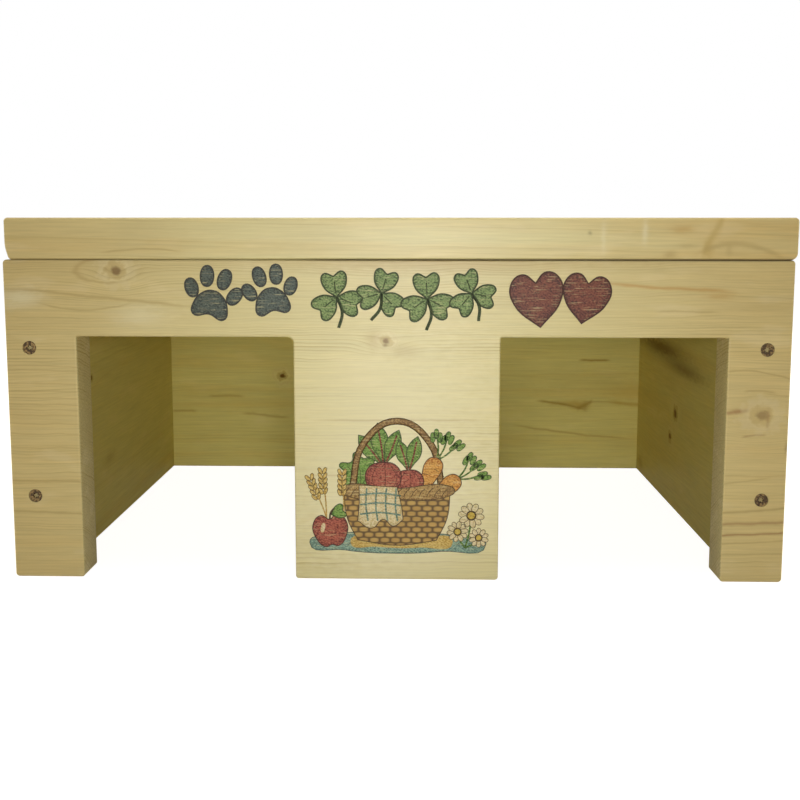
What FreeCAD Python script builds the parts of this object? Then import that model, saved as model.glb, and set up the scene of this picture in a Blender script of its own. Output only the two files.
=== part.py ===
"""Guinea pig house: a box of thick spruce boards with a flat roof, two doorways and no floor.

Millimetres, +Z up, front towards -Y. The origin is on the ground at the middle of the walls.
The front and back boards run the full width and cover the ends of the side boards. The roof
board lies on the four top edges. Countersunk wood screws hold every joint.
"""
import FreeCAD, Part
import os
import re
import Sketcher

# Name, value and meaning of every driving size.
SIZES = [
    ("house_width", 510, "front and back boards, end to end"),
    ("house_depth", 350, "front face to back face"),
    ("wall_height", 212, "all four wall boards"),
    ("wall_thickness", 27, "stock of the four wall boards"),
    ("roof_thickness", 27, "stock of the roof board"),
    ("roof_left_setback", 1.5, "left end of the roof, short of the front board's end"),
    ("roof_right_overhang", 1.5, "right end of the roof, past the front board's end"),
    ("left_post_width", 46.5, "front board, left of the left doorway"),
    ("left_doorway_width", 142, "clear width"),
    ("right_doorway_width", 146.5, "clear width"),
    ("right_post_width", 40.5, "front board, right of the right doorway"),
    ("doorway_height", 162, "both doorways, from the ground"),
    ("doorway_corner_radius", 1, "upper corners, where two saw cuts meet"),
    ("turned_corner_radius", 4, "upper right corner of the left doorway, where the saw turned"),
    ("foot_corner_radius", 2, "foot of each post, on its doorway side"),
    ("board_corner_radius", 2.5, "outer corners of the front and back boards"),
    ("board_edge_radius", 1.2, "sanded edges of the wall boards"),
    ("roof_corner_radius", 2.5, "ends of the roof board, along their upper edges"),
    ("roof_lower_radius", 4.5, "right end of the roof board, along its lower edge"),
    ("roof_edge_radius", 1.8, "round the front and back faces of the roof board"),
    ("sanded_end_rise", 8.5, "left end of the roof board, sanded back from this high"),
    ("sanded_end_run", 2.4, "and by this much at its lower edge"),
    ("sanded_end_radius", 20, "where the sanding begins"),
    ("screw_length", 60, "head to tip"),
    ("screw_head_diameter", 8.8, "countersunk head"),
    ("screw_rim", 0.4, "straight rim of the head, above its 90 degree cone"),
    ("screw_shank_diameter", 3.2, "plain part under the head"),
    ("screw_thread_diameter", 4.5, "outside of the thread"),
    ("screw_thread_length", 36, "from the tip"),
    ("screw_point_length", 6, "tapered tip"),
    ("drive_core_diameter", 2.7, "middle of the six-lobed recess"),
    ("drive_lobe_diameter", 0.95, "each lobe"),
    ("drive_lobe_circle", 2.9, "circle through the middles of the lobes"),
    ("drive_depth", 1.9, "recess in the head"),
    ("screw_sink", 0.5, "head below the face of the board"),
    ("head_gap", 0.15, "around the rim of the head"),
    ("shank_hole_diameter", 5, "hole through the outer board"),
    ("thread_gap", 0.02, "around the thread in the inner board"),
    ("screw_off_centre", 2, "wall screws, from the side board's middle towards the doorways"),
    ("lower_screw_height", 55.5, "wall screws, above the ground"),
    ("upper_screw_drop", 57.5, "wall screws, below the top edge"),
    ("roof_screw_inset", 17, "corner screws of the roof, from the end of the front board"),
]

TOUCH = 0.001
DRIVE_LOBES = 6

doc = FreeCAD.newDocument("guinea_pig_house")


def write_sizes():
    """Fill the spreadsheet, one row for each size."""
    table = doc.addObject("Spreadsheet::Sheet", "Sizes")
    for row, (name, value, meaning) in enumerate(SIZES, start=1):
        table.set("A%d" % row, name)
        table.set("B%d" % row, str(value))
        table.set("C%d" % row, meaning)
        table.setAlias("B%d" % row, name)
    doc.recompute()
    return table


sheet = write_sizes()


def bound(expression):
    """The expression with each size's name looked up on the spreadsheet."""
    return re.sub(r"[a-z_]+", r"Sizes.\g<0>", expression)


def value(expression):
    """What the expression comes to now."""
    return float(sheet.evalExpression(bound(expression)))


def hold(sketch, kind, name, expression, line):
    """Tie one coordinate of a line's first point to an expression, or to the sketch's axis."""
    if expression == "0":
        axis = -2 if kind == "DistanceX" else -1
        sketch.addConstraint(Sketcher.Constraint("PointOnObject", line, 1, axis))
        return
    distance = Sketcher.Constraint(kind, -1, 1, line, 1, value(expression))
    sketch.renameConstraint(sketch.addConstraint(distance), name)
    sketch.setExpression("Constraints." + name, bound(expression))


def new_sketch(body, name, plane):
    """Empty sketch on one of the body's own planes."""
    sketch = body.newObject("Sketcher::SketchObject", name)
    support = next(item for item in body.Origin.OriginFeatures if item.Role == plane)
    sketch.AttachmentSupport = [(support, "")]
    sketch.MapMode = "FlatFace"
    return sketch


def outline(body, name, plane, corners):
    """Closed straight-sided sketch, each corner given by two expressions."""
    sketch = new_sketch(body, name, plane)
    places = [FreeCAD.Vector(value(x), value(y), 0) for x, y in corners]
    for start, end in zip(places, places[1:] + places[:1]):
        sketch.addGeometry(Part.LineSegment(start, end), False)
    for line, (x, y) in enumerate(corners):
        following = (line + 1) % len(corners)
        sketch.addConstraint(Sketcher.Constraint("Coincident", line, 2, following, 1))
        hold(sketch, "DistanceX", "x%d" % line, x, line)
        hold(sketch, "DistanceY", "y%d" % line, y, line)
    return sketch


def circle(body, name, diameter, centre):
    """Circle on the body's XY plane, its centre on the X axis."""
    sketch = new_sketch(body, name, "XY_Plane")
    middle = FreeCAD.Vector(value(centre), 0, 0)
    sketch.addGeometry(Part.Circle(middle, FreeCAD.Vector(0, 0, 1), value(diameter) / 2), False)
    sketch.addConstraint(Sketcher.Constraint("PointOnObject", 0, 3, -1))
    if centre == "0":
        sketch.addConstraint(Sketcher.Constraint("PointOnObject", 0, 3, -2))
    else:
        offset = Sketcher.Constraint("DistanceX", -1, 1, 0, 3, value(centre))
        sketch.renameConstraint(sketch.addConstraint(offset), "offset")
        sketch.setExpression("Constraints.offset", bound(centre))
    across = Sketcher.Constraint("Diameter", 0, value(diameter))
    sketch.renameConstraint(sketch.addConstraint(across), "across")
    sketch.setExpression("Constraints.across", bound(diameter))
    return sketch


def pocket(body, sketch, depth=None):
    """Cut the sketch into the body, right through unless a depth is given."""
    before = body.Shape.Volume
    cut = body.newObject("PartDesign::Pocket", sketch.Name + "_cut")
    cut.Profile = sketch
    if depth is None:
        cut.Type = "ThroughAll"
    else:
        cut.setExpression("Length", bound(depth))
    doc.recompute()
    if not body.Shape.Volume < before - TOUCH:
        raise RuntimeError(cut.Name + " removes nothing")
    return cut


def edges_at(body, **place):
    """Names of the edges that keep to the coordinates given, in the body's own frame."""
    names = []
    for number, edge in enumerate(body.Tip.Shape.Edges, start=1):
        box = edge.BoundBox
        spans = {"x": (box.XMin, box.XMax), "y": (box.YMin, box.YMax), "z": (box.ZMin, box.ZMax)}
        limits = [(limit, value(place[axis])) for axis in place for limit in spans[axis]]
        if all(abs(limit - wanted) < TOUCH for limit, wanted in limits):
            names.append("Edge%d" % number)
    return names


def round_edges(body, name, radius, *places):
    """Round the edges of the body's last feature that lie at the places given."""
    names = [edge for place in places for edge in edges_at(body, **place)]
    last = body.Tip
    fillet = body.newObject("PartDesign::Fillet", name)
    fillet.Base = (last, names)
    fillet.setExpression("Radius", bound(radius))
    doc.recompute()


def put(item, x, y, z):
    """Bind an object's place to three expressions."""
    for axis, expression in zip("xyz", (x, y, z)):
        item.setExpression("Placement.Base." + axis, bound(expression))


def rectangle(across, up):
    """Corners of a rectangle that starts at the origin."""
    return [("0", "0"), (across, "0"), (across, up), ("0", up)]


def sawn_board(name, plane, corners, thickness):
    """Board of one thickness, its outline on a plane through the origin of its own body."""
    body = doc.addObject("PartDesign::Body", name + "_blank")
    pad = body.newObject("PartDesign::Pad", name + "_stock")
    pad.Profile = outline(body, name + "_outline", plane, corners)
    pad.setExpression("Length", bound(thickness))
    pad.Reversed = plane == "XZ_Plane"
    doc.recompute()
    return body


def screw_body():
    """One countersunk wood screw, head up at the origin, its point towards -Z."""
    body = doc.addObject("PartDesign::Body", "screw_pattern")
    head, shank, thread = ("screw_%s_diameter / 2" % part for part in ("head", "shank", "thread"))
    thread_start = "screw_thread_length - screw_length"
    point_start = "screw_point_length - screw_length"
    profile = outline(body, "screw_profile", "XZ_Plane", [
        ("0", "0"),
        (head, "0"),
        (head, "-screw_rim"),
        (shank, "%s - %s - screw_rim" % (shank, head)),
        (shank, thread_start),
        (thread, thread_start),
        (thread, point_start),
        ("0", "-screw_length"),
    ])
    turned(body, profile)
    pocket(body, circle(body, "drive_core", "drive_core_diameter", "0"), "drive_depth")
    lobe_sketch = circle(body, "drive_lobe", "drive_lobe_diameter", "drive_lobe_circle / 2")
    lobe = pocket(body, lobe_sketch, "drive_depth")
    lobes = body.newObject("PartDesign::PolarPattern", "drive_lobes")
    lobes.Originals = [lobe]
    lobes.Axis = (lobe_sketch, ["N_Axis"])
    lobes.Angle = 360
    lobes.Occurrences = DRIVE_LOBES
    body.Tip = lobes
    doc.recompute()
    return body


def hole_body(name, outer_thickness):
    """What is drilled away for one screw: countersink, shank hole, then the thread's own hole."""
    body = doc.addObject("PartDesign::Body", name)
    head = "(screw_head_diameter / 2 + head_gap)"
    shank = "(shank_hole_diameter / 2)"
    thread = "(screw_thread_diameter / 2 + thread_gap)"
    cone_top = "(head_gap - screw_rim)"
    inner_board = "screw_sink - %s" % outer_thickness
    profile = outline(body, name + "_profile", "XZ_Plane", [
        ("0", "screw_sink + screw_rim"),
        (head, "screw_sink + screw_rim"),
        (head, cone_top),
        (shank, "%s - %s + %s" % (cone_top, head, shank)),
        (shank, inner_board),
        (thread, inner_board),
        (thread, "screw_point_length - screw_length"),
        ("0", "-screw_length - thread_gap"),
    ])
    turned(body, profile)
    return body


def turned(body, profile):
    """Turn a profile once round its own vertical axis."""
    turn = body.newObject("PartDesign::Revolution", body.Name + "_turned")
    turn.Profile = profile
    turn.ReferenceAxis = (profile, ["V_Axis"])
    turn.Angle = 360
    doc.recompute()


def copy_at(name, body, tilt, place):
    """Link to a body, tilted about the X axis and put at a place."""
    link = doc.addObject("App::Link", name)
    link.LinkedObject = body
    link.Placement = FreeCAD.Placement(FreeCAD.Vector(), FreeCAD.Rotation(FreeCAD.Vector(1, 0, 0), tilt))
    put(link, *place)
    return link


def screw_group(name, screw, hole, tilt, places):
    """Like screws as one sub-part, and a hole to be cut at each of their places."""
    group = doc.addObject("Part::Compound", name)
    group.Links = [copy_at("%s_%d" % (name, n), screw, tilt, place)
                   for n, place in enumerate(places, start=1)]
    holes = [copy_at("%s_hole_%d" % (name, n), hole, tilt, place)
             for n, place in enumerate(places, start=1)]
    return group, holes


def wall_screw_places(face):
    """Two screws above each other at each end of a wall board, on the given face."""
    inset = "(house_width / 2 - wall_thickness / 2 - screw_off_centre)"
    heights = ("lower_screw_height", "wall_height - upper_screw_drop")
    return [("%d * %s" % (side, inset), face, height) for side in (-1, 1) for height in heights]


def roof_screw_places():
    """Three screws into the front and back boards, one into the middle of each side board."""
    top = "wall_height + roof_thickness - screw_sink"
    corner = "(house_width / 2 - roof_screw_inset)"
    board = "(house_depth / 2 - wall_thickness / 2)"
    side = "(house_width / 2 - wall_thickness / 2)"
    long_walls = [("%d * %s" % (end, corner), "%d * %s" % (wall, board), top)
                  for wall in (-1, 1) for end in (-1, 0, 1)]
    side_walls = [("%d * %s" % (wall, side), "0", top) for wall in (-1, 1)]
    return long_walls + side_walls


def front_board():
    """Full-width board with both doorways sawn out of its bottom edge."""
    whole = rectangle("house_width", "wall_height")
    body = sawn_board("front_board", "XZ_Plane", whole, "wall_thickness")
    left = ("left_post_width", "left_post_width + left_doorway_width")
    right_end = "house_width - right_post_width"
    right = (right_end + " - right_doorway_width", right_end)
    for name, (start, end) in (("left_doorway", left), ("right_doorway", right)):
        corners = [(start, "0"), (end, "0"), (end, "doorway_height"), (start, "doorway_height")]
        pocket(body, outline(body, name, "XZ_Plane", corners))
    round_edges(body, "feet", "foot_corner_radius", *({"x": x, "z": "0"} for x in left + right))
    round_edges(body, "turned_corner", "turned_corner_radius", {"x": left[1], "z": "doorway_height"})
    sharp = (left[0],) + right
    round_edges(body, "doorway_corners", "doorway_corner_radius",
                *({"x": x, "z": "doorway_height"} for x in sharp))
    round_outside(body, "front")
    put(body, "-house_width / 2", "-house_depth / 2", "0")
    return body


def back_board():
    """Full-width board across the back, the twin of the front without its doorways."""
    whole = rectangle("house_width", "wall_height")
    body = sawn_board("back_board", "XZ_Plane", whole, "wall_thickness")
    round_outside(body, "back")
    put(body, "-house_width / 2", "house_depth / 2 - wall_thickness", "0")
    return body


def round_outside(body, name):
    """Outer corners of a full-width board, then the edges of both its faces."""
    ends = ("0", "house_width")
    levels = ("0", "wall_height")
    round_edges(body, name + "_corners", "board_corner_radius",
                *({"x": x, "z": z} for x in ends for z in levels))
    round_edges(body, name + "_edges", "board_edge_radius", {"y": "0"}, {"y": "wall_thickness"})


def side_board(name, x):
    """Board between the front and the back, flush with their ends."""
    length = "house_depth - 2 * wall_thickness"
    body = sawn_board(name, "YZ_Plane", rectangle(length, "wall_height"), "wall_thickness")
    round_edges(body, name + "_edges", "board_edge_radius", {"x": "0"}, {"x": "wall_thickness"},
                *({"y": y, "z": z} for y in ("0", length) for z in ("0", "wall_height")))
    put(body, x, "wall_thickness - house_depth / 2", "0")
    return body


def roof_board():
    """Flat board over all four walls, its ends sanded rounder than the walls' edges."""
    length = "house_width - roof_left_setback + roof_right_overhang"
    corners = rectangle(length, "roof_thickness")[1:]
    corners += [("0", "sanded_end_rise"), ("sanded_end_run", "0")]
    body = sawn_board("roof_board", "XZ_Plane", corners, "house_depth")
    round_edges(body, "roof_corners", "roof_corner_radius", {"x": "sanded_end_run", "z": "0"},
                *({"x": x, "z": "roof_thickness"} for x in ("0", length)))
    round_edges(body, "lower_right_end", "roof_lower_radius", {"x": length, "z": "0"})
    round_edges(body, "sanded_end", "sanded_end_radius", {"x": "0", "z": "sanded_end_rise"})
    round_edges(body, "roof_edges", "roof_edge_radius", {"y": "0"}, {"y": "house_depth"})
    put(body, "roof_left_setback - house_width / 2", "-house_depth / 2", "wall_height")
    return body


def drilled(name, blank, holes):
    """A board as sub-part, with every screw hole that meets it."""
    board = doc.addObject("Part::Cut", name)
    board.Base = blank
    board.Tool = holes
    return board


def build():
    """All sub-parts of the house."""
    screw = screw_body()
    wall_hole = hole_body("wall_screw_hole", "wall_thickness")
    roof_hole = hole_body("roof_screw_hole", "roof_thickness")
    front_places = wall_screw_places("screw_sink - house_depth / 2")
    back_places = wall_screw_places("house_depth / 2 - screw_sink")
    groups = [
        screw_group("front_screws", screw, wall_hole, 90, front_places),
        screw_group("back_screws", screw, wall_hole, -90, back_places),
        screw_group("roof_screws", screw, roof_hole, 0, roof_screw_places()),
    ]
    holes = doc.addObject("Part::Compound", "screw_holes")
    holes.Links = [hole for _, group_holes in groups for hole in group_holes]
    blanks = {
        "front_board": front_board(),
        "back_board": back_board(),
        "left_side_board": side_board("left_side_board", "-house_width / 2"),
        "right_side_board": side_board("right_side_board", "house_width / 2 - wall_thickness"),
        "roof_board": roof_board(),
    }
    boards = [drilled(name, blank, holes) for name, blank in blanks.items()]
    return boards + [group for group, _ in groups]


def write_nodes(nodes):
    """Check the whole document, then write one STEP file for each sub-part."""
    doc.recompute()
    failed = [item.Name for item in doc.Objects if {"Invalid", "Error"} & set(item.State)]
    failed += [node.Label for node in nodes if node.Shape.isNull() or not node.Shape.isValid()]
    if failed:
        raise RuntimeError("failed: " + ", ".join(failed))
    os.makedirs("parts", exist_ok=True)
    for node in nodes:
        node.Shape.exportStep("parts/%s.step" % node.Label)
        print("%-18s %d solid, %.0f mm3" % (node.Label, len(node.Shape.Solids), node.Shape.Volume))


write_nodes(build())
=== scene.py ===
"""Looks of the guinea pig house: sanded spruce boards, sunk screws and a burned and stained front.

Metres in the meshes; the wood's own sizes and places are in millimetres, as a joiner gives them.
"""
import collections
import math
import bmesh
import bpy
import mathutils
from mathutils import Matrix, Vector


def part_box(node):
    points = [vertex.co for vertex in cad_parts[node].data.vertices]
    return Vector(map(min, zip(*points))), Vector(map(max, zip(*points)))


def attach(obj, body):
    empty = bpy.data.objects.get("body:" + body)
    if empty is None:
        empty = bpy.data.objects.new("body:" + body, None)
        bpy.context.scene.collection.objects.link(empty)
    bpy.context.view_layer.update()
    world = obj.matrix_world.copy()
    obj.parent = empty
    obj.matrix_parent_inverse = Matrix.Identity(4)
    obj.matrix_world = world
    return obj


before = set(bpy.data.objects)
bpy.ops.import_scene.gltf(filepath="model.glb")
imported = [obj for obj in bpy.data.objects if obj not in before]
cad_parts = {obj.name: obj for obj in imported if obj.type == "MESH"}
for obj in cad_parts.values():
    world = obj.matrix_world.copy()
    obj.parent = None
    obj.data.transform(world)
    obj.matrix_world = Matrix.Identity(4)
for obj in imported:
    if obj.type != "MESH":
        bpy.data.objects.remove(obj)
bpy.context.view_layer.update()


# Side boards: two spruce planks that stand on edge between the front and the back. Plain sanded
# wood, its growth rings followed through the whole thickness, so that faces, edges and end grain
# belong together. The front and back boards are screwed to their ends.

class Link:
    """One output of a node. Arithmetic on it adds Math nodes."""

    def __init__(self, finish, socket):
        self.finish, self.socket = finish, socket

    def other(self, output):
        """Another output of the same node."""
        return Link(self.finish, self.socket.node.outputs[output])

    def math(self, operation, *values):
        """A Math node on this value and the ones given."""
        return self.finish.node("Math", {"operation": operation}, dict(enumerate((self, *values))))

    def __add__(self, value):
        return self.math("ADD", value)

    def __sub__(self, value):
        return self.math("SUBTRACT", value)

    def __rsub__(self, value):
        return self.finish.node("Math", {"operation": "SUBTRACT"}, {0: value, 1: self})

    def __mul__(self, value):
        return self.math("MULTIPLY", value)

    def __truediv__(self, value):
        return self.math("DIVIDE", value)

    def __neg__(self):
        return self * -1.0

    __radd__, __rmul__ = __add__, __mul__


class Finish:
    """The nodes of one material or of the world."""

    def __init__(self, owner):
        self.owner = owner
        owner.use_nodes = True
        self.tree = owner.node_tree
        self.tree.nodes.clear()

    def node(self, kind, settings=(), sockets=(), output=0):
        """One node of the type, with its settings and the values or links of its sockets."""
        made = self.tree.nodes.new("ShaderNode" + kind)
        for name, setting in dict(settings).items():
            if name == "stops":
                ramp = made.color_ramp.elements
                ramp.remove(ramp[1])
                ramp[0].position, ramp[0].color = setting[0]
                for position, colour in setting[1:]:
                    ramp.new(position).color = colour
            else:
                setattr(made, name, setting)
        for name, given in dict(sockets).items():
            if isinstance(given, Link):
                self.tree.links.new(given.socket, made.inputs[name])
            else:
                made.inputs[name].default_value = given
        return Link(self, made.outputs[output]) if len(made.outputs) else None

    def place(self):
        """X, Y and Z on the object, in millimetres."""
        coordinates = self.node("TexCoord", output="Object")
        scaled = self.node("VectorMath", {"operation": "SCALE"}, {0: coordinates, "Scale": 1 / MM})
        x = self.node("SeparateXYZ", sockets={0: scaled})
        return x, x.other("Y"), x.other("Z")

    def blend(self, factor, first, second, how="MIX"):
        """Two colours mixed."""
        settings = {"data_type": "RGBA", "blend_type": how}
        return self.node("Mix", settings, {0: factor, 6: first, 7: second}, output=2)

    def shade(self, colour, value):
        """A colour made lighter or darker."""
        grey = self.node("CombineColor", sockets={0: value, 1: value, 2: value})
        return self.blend(1.0, colour, grey, "MULTIPLY")

    def ease(self, value, start, end, low=0.0, high=1.0):
        """The value eased from low at the start to high at the end."""
        sockets = {"Value": value, "From Min": start, "From Max": end, "To Min": low, "To Max": high}
        return self.node("MapRange", {"interpolation_type": "SMOOTHSTEP"}, sockets)

    def hump(self, *shares):
        """1 at the middle, falling off like a bell as the shares grow."""
        total = sum(share * share for share in shares)
        return (-total).math("EXPONENT")

    def noise(self, along, up, through, detail=2.0):
        """Cloudy value from 0 to 1."""
        vector = self.node("CombineXYZ", sockets={0: along, 1: up, 2: through})
        return self.node("TexNoise", sockets={"Vector": vector, "Scale": 1.0, "Detail": detail})

    def paint(self, colour, roughness, relief, depth, ior):
        """A surface with some gloss and a relief this deep, in metres."""
        normal = self.node("Bump", sockets={"Strength": 1.0, "Distance": depth, "Height": relief})
        sockets = {"Base Color": colour, "Roughness": roughness, "Normal": normal, "IOR": ior}
        self.node("OutputMaterial", sockets={"Surface": self.node("BsdfPrincipled", sockets=sockets)})


MM = 0.001
EARLY_WOOD = (0.70, 0.617, 0.30, 1.0)
AMBER_WOOD = (0.66, 0.48, 0.18, 1.0)
LATE_WOOD = (0.42, 0.30, 0.10, 1.0)
END_WOOD = (0.60, 0.50, 0.22, 1.0)
DUSTY_WOOD = (0.78, 0.68, 0.40, 1.0)
# Tint of the side boards' room side: a painted tint for the yellower light inside the room.
SIDE_ROOM_LIGHT_TINT = (1.03, 1.01, 0.67, 1.0)
DARK_YEAR_AND_SHADE = (0.40, 0.26, 0.08, 1.0)
BROWN_MARK = (0.17, 0.11, 0.035, 1.0)
# Painted shadow in the joint under the roof.
JOINT_SHADOW = (0.07, 0.05, 0.02, 1.0)
KNOT_WOOD = (0.17, 0.09, 0.022, 1.0)
KNOT_RING = (0.45, 0.30, 0.10, 1.0)
WHITE = (1.0, 1.0, 1.0, 1.0)
BLACK = (0.0, 0.0, 0.0, 1.0)

# Joint under the roof, in mm: how high it lies and how wide the shadow painted along it is.
# Towards the left end there is less of it.
ROOF_UNDER = 212.0
JOINT_SHADOW_HALF = 0.7
LESS_SHADOW_X = -75.0
FULL_SHADOW_X = -30.0

# Marks in the wood, in mm on a board's face: a knot with its core, the wood it pushes aside and
# the oval round it; a vein, which is one year's dark line; and a soft patch, of which some are
# painted shade or painted sheen. A vein wanders up and down with the grain.
VEIN_WANDER = 3.0
Knot = collections.namedtuple("Knot", "along up core spread darkness oval", defaults=[0.0])
Vein = collections.namedtuple("Vein", "start end half strength tint bow", defaults=[DARK_YEAR_AND_SHADE, 0.0])
Patch = collections.namedtuple("Patch", "along up half_along half_up strength tint",
                               defaults=[DARK_YEAR_AND_SHADE])


def growth(finish, along, up, through, pith, ring, lean, seed, knots):
    """Share of late wood from the growth rings, and the noise that makes their widths uneven."""
    slow = finish.noise(along / 240.0 + seed, up / 85.0, through / 85.0) - 0.5
    wander = finish.noise(along / 62.0 + seed, up / 24.0, through / 24.0) - 0.5
    ripple = finish.noise(along / 19.0 + seed, up / 7.0, through / 7.0) - 0.5
    off_pith = up + slow * 9.0 + wander * 4.5 + ripple * 1.5 - along * lean - pith[0]
    lift = 0.0
    for knot in knots:
        off_up = up - knot.up
        near = finish.hump((along - knot.along) / (knot.spread * 1.7), off_up / knot.spread)
        off_pith = off_pith - off_up * near * 0.8
        lift = near * knot.spread * 0.32 + lift
    depth = through + wander * 0.8 - pith[1]
    from_pith = (off_pith * off_pith + depth * depth).math("SQRT") + lift
    uneven = finish.noise(from_pith / 10.0 + seed, along / 900.0, seed)
    turns = from_pith / ring + uneven * 3.2
    year = turns.math("FLOOR")
    band = finish.node("ValToRGB", {"stops": [
        (0.0, BLACK), (0.5, (0.06, 0.06, 0.06, 1.0)), (0.8, (0.45, 0.45, 0.45, 1.0)), (0.92, WHITE),
        (1.0, BLACK)]}, {"Fac": turns - year})
    strong = finish.node("TexWhiteNoise", {"noise_dimensions": "1D"}, {"W": year + seed})
    patchy = finish.noise(along / 110.0 + seed, up / 26.0, through / 26.0)
    late = band * (strong * strong * 0.75 + 0.25) * finish.ease(patchy, 0.32, 0.68, 0.3, 1.0)
    return late, uneven


def draw_years(finish, colour, along, up, seed, veins, patches):
    """Soft patches, then single dark years, laid over the colour of the rings."""
    crumble = finish.noise(along / 7.0 + seed, up / 3.0, 0.0, 3.0) - 0.5
    drift = finish.noise(along / 26.0 + seed, up / 60.0, 0.0) - 0.5
    for patch in patches:
        middle = finish.hump((along - patch.along) / patch.half_along + crumble,
                             (up - patch.up) / patch.half_up + crumble)
        colour = finish.blend(middle * patch.strength, colour, patch.tint)
    for vein in veins:
        share = (along - vein.start[0]) / (vein.end[0] - vein.start[0])
        straight = share * (vein.end[1] - vein.start[1]) + vein.start[1]
        level = straight + share * (1 - share) * 4 * vein.bow
        half = vein.half * (crumble * 1.2 + 1.0)
        line = finish.hump((up - level + drift * VEIN_WANDER) / half)
        ends = finish.ease((share - 0.5).math("ABSOLUTE"), 0.5, 0.28)
        colour = finish.blend(line * ends * vein.strength, colour, vein.tint)
    return colour


def draw_knots(finish, colour, along, up, seed, knots):
    """Knots, dark in the middle, each with rings of its own in a ring of paler wood."""
    crumble = finish.noise(along / 7.0 + seed, up / 3.0, 0.0, 3.0) - 0.5
    uneven = finish.noise(along / 5.0 + seed, up / 5.0, 3.0) * 1.2 + 0.4
    for knot in knots:
        off_along = along - knot.along + crumble * knot.core
        off_up = up - knot.up + crumble * knot.core * 0.7
        away = (off_along * off_along * 0.75 + off_up * off_up).math("SQRT") * uneven / knot.core
        pale = finish.hump((away - 2.3) * 1.2)
        colour = finish.blend(pale * 0.3, colour, DUSTY_WOOD)
        own_years = (away * 5.5 + crumble * 5.0).math("SINE") * 0.5 + 0.5
        ringed = own_years * finish.hump(away / 2.2) * knot.darkness * 0.55
        colour = finish.blend(ringed, colour, KNOT_RING)
        if knot.oval:
            off_oval = off_along + knot.oval * 0.6
            round_it = (off_oval * off_oval * 0.14 + off_up * off_up).math("SQRT")
            line = finish.hump((round_it - knot.oval) / 0.8)
            broken = finish.ease(off_along / knot.oval + crumble * 3.0, 1.2, -0.6) * 0.45 + 0.1
            colour = finish.blend(line * broken, colour, KNOT_RING)
        colour = finish.blend(finish.ease(away, 1.8, 0.7) * knot.darkness * 0.5, colour, KNOT_RING)
        colour = finish.blend(finish.ease(away, 1.15, 0.4) * knot.darkness, colour, KNOT_WOOD)
    return colour


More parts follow.
